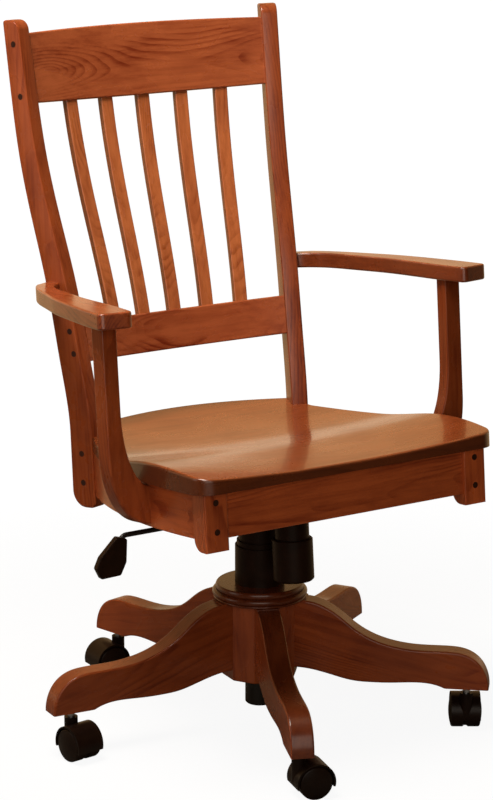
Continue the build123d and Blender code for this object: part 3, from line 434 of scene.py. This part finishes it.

# %% [markdown]
# Boards take stain differently. Their stain factors also carry painted light and shade: some boards are set
# darker as painted shade and others lighter as painted light, and rim darkens their sides as painted shade.
# The slats are pale, the seat is dark under a high polish, and the crest rail is cut so that its rings make
# arches.
# A board's middle, from its box, keeps its figure apart from its neighbour's.

# %% Stain, polish and painted light and shade of each board
looks = {
    "slat": {"light": (0.52, 0.15, 0.047), "dark": (0.25, 0.05, 0.013), "rim": 0.5},
    "crest": {
        "light": (0.43, 0.105, 0.034), "tilt": 6.0, "pith": (0, 0.006, -0.035), "gap": 0.005,
        "wander": 0.004, "figure": 0.45,
    },
    "lower_back": {"light": (0.40, 0.095, 0.031), "figure": 0.7, "wander": 0.009},
    # Painted light and shade: these stain factors make whole boards darker or lighter besides their own
    # stain.
    "arm_support_left": {"stain": 0.85, "gloss": 0.25, "coat": 0.2},
    "arm_support_right": {"stain": 0.5, "gloss": 0.15, "coat": 0.1},
    "arm_left": {"stain": 0.9, "rim": 0.8, "coat": 0.55},
    "arm_right": {"stain": 0.75, "rim": 0.6, "coat": 0.55},
    "back_post_right": {"stain": 0.68},
    "back_post_left": {"stain": 0.8, "gloss": 0.15, "coat": 0.12},
    "front_leg_left": {"stain": 1.2, "gloss": 0.3},
    "front_leg_right": {"stain": 1.5, "gloss": 0.3},
    "front_apron": {"stain": 1.3, "gloss": 0.3},
    "side_apron": {"stain": 1.3, "gloss": 0.3},
    "seat": {
        "light": (0.30, 0.065, 0.016), "dark": (0.15, 0.028, 0.007), "figure": 0.35, "rim": 0.42,
        "gloss": 0.5, "coat": 0.5, "polish": 0.1,
    },
    "base_leg_1": {"stain": 0.95, "gloss": 0.35, "coat": 0.35, "rim": 0.4},
    # Painted light: this back leg stands in shade, so its wood is set much lighter.
    "base_leg_3": {"light": (0.80, 0.22, 0.06), "dark": (0.5, 0.11, 0.03), "gloss": 0.2, "coat": 0.15},
    "base_leg_4": {"stain": 0.95, "gloss": 0.2, "coat": 0.15},
    "base_leg_5": {"stain": 0.62, "gloss": 0.2, "coat": 0.2},
    "base_leg": {"stain": 0.85, "gloss": 0.25, "coat": 0.25},
    "base_hub": {"stain": 0.9, "gloss": 0.25},
    # Painted shade: the collar is stained darker to stand for the shade it sits in.
    "collar": {"stain": 0.3, "gloss": 0.3, "coat": 0.25},
}


def middle(name):
    """Middle of a node's box."""
    low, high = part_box(name)
    return (Vector(low) + Vector(high)) / 2


pith_middle = np.array([0, 0, 0.055])
pith_spread = np.array([0.3, 0.02, 0.025])
tilt_spread = 4.0            # degrees
chance = np.random.default_rng(7)
for name, (along, face) in boards.items():
    shift = chance.uniform(-1, 1, 4)
    pith = tuple(pith_middle + pith_spread * shift[:3])
    shade = next((look for word, look in looks.items() if word in name), {})
    cut = {"tilt": tilt_spread * shift[3], "pith": pith, **shade}
    dress(nodes[name], cherry(f"cherry_{name}", along, face, middle(name), **cut))
print("boards dressed", len(boards), "with", len(looks), "looks")

# %% [markdown]
# A back post is sawn to an ogee on a bandsaw. Its front edge passes through a few heights and depths of the
# seat frame, in millimetres, and a spline that starts straight up and ends leaning back joins them.

# %% Ogee of the back posts
seat_low = 430.0             # underside of the seat above the floor, at the column
post_front_line = np.array(
    [(0, 26), (13.3, 133), (32.2, 248), (59.7, 363), (76.1, 443), (88.4, 543), (98.2, 647)], float
)
post_end_slopes = (0.0, 0.09)


def leaned(x, y, z):
    """Points of the leaning seat frame, in millimetres, as places in metres."""
    return np.stack([x, y * cos(lean) + z * sin(lean), seat_low - y * sin(lean) + z * cos(lean)], -1) / 1000


def ogee(z):
    """Front edge of a post at heights z: the clamped cubic spline whose slopes m solve
    m[i-1]/h[i-1] + 2 m[i] (1/h[i-1] + 1/h[i]) + m[i+1]/h[i] = 3 (d[i-1]/h[i-1] + d[i]/h[i]), d = step / h."""
    x, t = post_front_line.T
    h = np.diff(t)
    d = np.diff(x) / h
    solve = np.eye(len(t))
    right = np.array([post_end_slopes[0], *(3 * (d[:-1] / h[:-1] + d[1:] / h[1:])), post_end_slopes[1]])
    inner = np.arange(1, len(t) - 1)
    solve[inner, inner - 1] = 1 / h[:-1]
    solve[inner, inner] = 2 / h[:-1] + 2 / h[1:]
    solve[inner, inner + 1] = 1 / h[1:]
    m = np.linalg.solve(solve, right)
    i = np.clip(np.searchsorted(t, z) - 1, 0, len(h) - 1)
    s = np.clip((z - t[i]) / h[i], 0, 1)
    return (x[i] * (1 + 2 * s) * (1 - s) ** 2 + x[i + 1] * s**2 * (3 - 2 * s)
            + h[i] * s * (1 - s) * (m[i] * (1 - s) - m[i + 1] * s))


print("top of a post stands back by", round(float(ogee(post_front_line[-1:, 1])[0]), 1), "mm")

# %% [markdown]
# The post's long edges and both ends are eased with a router. The foot is rounded most at the rear, where it
# would catch a heel. One rounded rectangle is carried up the post's height, and at the ends its front and
# rear follow quarter circles, so every edge catches a soft light.

# %% Surface of a back post
post_inner = 172.1           # inner face of a post from the chair's middle, at its front edge
post_front = 170.0
post_wide = 26.2             # a tenth under the solid's, so that the flush plugs show
post_foot, post_arm, post_top = -87.0, 248.0, 647.0
post_depths = (43.6, 39.6, 28.5)
foot_rounds = (9.0, 26.0)    # front and rear
top_rounds = (15.0, 5.0)
post_corner = 2.5
corner_steps = 7


def eased(distance, radius):
    """How far a quarter circle of this radius draws a side in at a distance from the end."""
    near = np.clip(radius - distance, 0, radius)
    return radius - np.sqrt(radius**2 - near**2)


def post_rows(foot_zone=28, top_zone=16, straight=(-56, 630), counts=(26, 90, 22)):
    """Heights of the rings: close together at both ends, even between them."""
    foot = post_foot + foot_zone * (1 - np.cos(np.linspace(0, pi / 2, counts[0])))
    top = post_top - top_zone * (1 - np.sin(np.linspace(0, pi / 2, counts[2])))
    return np.concatenate([foot, np.linspace(*straight, counts[1]), top])


def post_surface(side):
    """Grid of a post: at every height z a rounded rectangle from ogee(z) to ogee(z) + depth(z),
    turned in by the toe and leaned with the seat."""
    z = post_rows()
    depth = np.interp(z, [post_foot, post_arm, post_top], post_depths)
    low, high = z - post_foot, post_top - z
    front = ogee(z) + eased(low, foot_rounds[0]) + eased(high, top_rounds[0])
    rear = ogee(z) + depth - eased(low, foot_rounds[1]) - eased(high, top_rounds[1])
    tuck = eased(low, post_corner) + eased(high, post_corner)
    turn = np.linspace(0, pi / 2, corner_steps)
    arc = np.stack([1 - np.cos(turn), 1 - np.sin(turn)], 1) * post_corner
    ring = [(0, 0, arc), (1, 0, arc[::-1] * (-1, 1)), (1, 1, -arc), (0, 1, arc[::-1] * (1, -1))]
    flat = np.ones(corner_steps)
    along = [np.outer(front * (1 - a) + rear * a, flat) + offset[:, 0] for a, b, offset in ring]
    over = [np.outer(tuck * (1 - b) + (post_wide - tuck) * b, flat) + offset[:, 1] for a, b, offset in ring]
    along, over = np.concatenate(along, 1), np.concatenate(over, 1)
    up = np.repeat(z[:, None], along.shape[1], 1)
    x = side * (post_inner + along * sin(toe) + over * cos(toe))
    y = post_front + along * cos(toe) - over * sin(toe)
    return leaned(x, y, up)


print("post grid", post_surface(1).shape[:2])

# %% [markdown]
# A grid of points becomes a piece when faces join its rows. The posts take the place of the packed ones,
# whose feet are square, and keep their wood. The right post mirrors the left one, which would turn it
# inside out, so its faces are turned round.

# %% Back posts with eased ends
crease = radians(40)         # edges that turn more than this stay sharp


def skin(name, grid, flip):
    """Closed tube through the rows of a grid, with flat ends; flip turns the faces outward."""
    rows, around = grid.shape[:2]
    index = np.arange(rows * around).reshape(rows, around)
    beside = np.roll(index, -1, 1)
    quads = np.stack([index[:-1], beside[:-1], beside[1:], index[1:]], 2).reshape(-1, 4)
    faces = [*quads.tolist(), index[0, ::-1].tolist(), index[-1].tolist()]
    mesh = bpy.data.meshes.new(name)
    mesh.from_pydata(grid.reshape(-1, 3).tolist(), [], [face[::-1] for face in faces] if flip else faces)
    mesh.shade_smooth()
    mesh.set_sharp_from_angle(angle=crease)
    piece = bpy.data.objects.new(name, mesh)
    scene.collection.objects.link(piece)
    return piece


for word, side in (("left", -1), ("right", 1)):
    node = f"back_post_{word}"
    post = skin(f"eased_post_{word}", post_surface(side), side > 0)
    dress(post, nodes[node].data.materials[0])
    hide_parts(node)
    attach(post, "seat")
    print(node, "faces", len(post.data.polygons))

# %% [markdown]
# The plugs are end grain, stained almost black. Black plastic and powder-coated steel are never plain:
# a moulded skin has a fine texture and a little unevenness of colour, and plated steel is cloudy.
# One recipe makes them all: a broad noise mixes two colours, and a fine one makes the texture.

# %% Dark and metal finishes
broad_share = 0.04           # scale of the change of colour, as a share of the texture's
texture_height = 0.0004


def finish(name, colour, second, scale, rough, metal=0.0, stretch=(1, 1, 1), bump_by=0.08, gloss=0.5):
    """A two-tone speckled finish whose roughness and height follow the same noise."""
    material = bpy.data.materials.new(name)
    material.use_nodes = True
    w = Wires(material.node_tree)
    shader = material.node_tree.nodes["Principled BSDF"]
    where = w.stretch(w.node("ShaderNodeTexCoord").outputs["Object"], stretch)
    fine = w.noise(where, scale, 3.0, 0.6)
    broad = w.noise(where, scale * broad_share, 3.0, 0.55)
    w.put(shader.inputs["Base Color"], w.blend(w.range(broad, 0.3, 0.75), (*colour, 1), (*second, 1)))
    w.put(shader.inputs["Roughness"], w.math("ADD", w.range(fine, 0.3, 0.7, -0.05, 0.05), rough))
    bump = w.node("ShaderNodeBump")
    bump.inputs["Strength"].default_value = bump_by
    bump.inputs["Distance"].default_value = texture_height
    w.put(bump.inputs["Height"], fine)
    w.put(shader.inputs["Normal"], bump.outputs[0])
    shader.inputs["Metallic"].default_value = metal
    shader.inputs["Specular IOR Level"].default_value = gloss
    return material


plug_end = finish("plug_end_grain", (0.024, 0.008, 0.004), (0.046, 0.015, 0.007), 1400, 0.5, gloss=0.15)
moulding = finish(
    "black_moulding", (0.012, 0.004, 0.001), (0.018, 0.006, 0.002), 1600, 0.42, bump_by=0.15, gloss=0.12
)
coating = finish("black_coating", (0.008, 0.005, 0.004), (0.013, 0.009, 0.006), 1100, 0.36, bump_by=0.12)
nylon = finish(
    "caster_nylon", (0.008, 0.003, 0.0015), (0.014, 0.006, 0.003), 900, 0.34, bump_by=0.06, gloss=0.15
)
zinc = finish("bright_zinc", (0.52, 0.52, 0.53), (0.40, 0.40, 0.41), 700, 0.30, metal=1.0, stretch=(1, 1, 8))
spring_wire = finish("oiled_wire", (0.16, 0.16, 0.17), (0.10, 0.10, 0.11), 900, 0.32, metal=1.0)
print("finishes", [m.name for m in (plug_end, moulding, coating, nylon, zinc, spring_wire)])

# %% [markdown]
# Fasteners and sliding rods are zinc plated, the hidden frame and the column's tubes are powder coated,
# and what the hand or the floor touches is moulded: the knob, the lever's paddle, the covers and the casters.

# %% Dark and metal pieces
worn = {
    plug_end: ["screw_plugs"],
    zinc: [
        "frame_screws", "seat_plate_bolts", "tilt_pivot_pin", "tension_bolt", "piston_rod", "caster_stems",
    ],
    spring_wire: ["tension_spring"],
    coating: ["seat_plate", "tilt_housing", "base_tube", "gas_cylinder", "lever_rod", "caster_sockets"],
    moulding: [
        "tension_knob", "lever_paddle", "cover_lower", "cover_middle", "cover_upper", "guide_bush",
        "valve_button",
    ],
    nylon: [f"caster_{kind}_{number}" for kind in ("hood", "wheels") for number in numbers],
}
for material, names in worn.items():
    for name in names:
        dress(nodes[name], material)
print("nodes dressed", len(boards) + sum(map(len, worn.values())), "of", len(nodes))

# %% [markdown]
# The coil spring sits round the tension bolt, between the knob and the fork of the tilt housing.
# When the sitter leans back the knob rises towards the fork, so the spring must get shorter:
# a rigid coil would cut through the fork. It is wound from round wire, and its lower end stands in the knob.

# %% Tension spring
spring_axis = -77.0          # the tension bolt, in the seat frame
spring_mean = 14.5
spring_wire_radius = 2.3
spring_turns = 8
spring_low, spring_high = -172.2, -72.3


def coil(steps=48, around=16):
    """Tube of wire r round the helix c(t) = (R cos t, y + R sin t, low + p t): c + r (cos v n + sin v b),
    with n away from the axis and b square to n and to the helix."""
    turns = np.linspace(0, 2 * pi * spring_turns, steps * spring_turns + 1)
    t, v = np.meshgrid(turns, np.linspace(0, 2 * pi, around, endpoint=False), indexing="ij")
    rise = (spring_high - spring_low) / (2 * pi * spring_turns)
    steep = np.hypot(spring_mean, rise)
    span = spring_mean + spring_wire_radius * np.cos(v)
    over = spring_wire_radius * np.sin(v)
    x = span * np.cos(t) + over * rise / steep * np.sin(t)
    y = spring_axis + span * np.sin(t) - over * rise / steep * np.cos(t)
    return leaned(x, y, spring_low + rise * t + over * spring_mean / steep)


spring = skin("tension_coil", coil(), True)
dress(spring, spring_wire)
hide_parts("tension_spring")
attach(spring, "seat")
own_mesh(spring)
print("spring faces", len(spring.data.polygons))
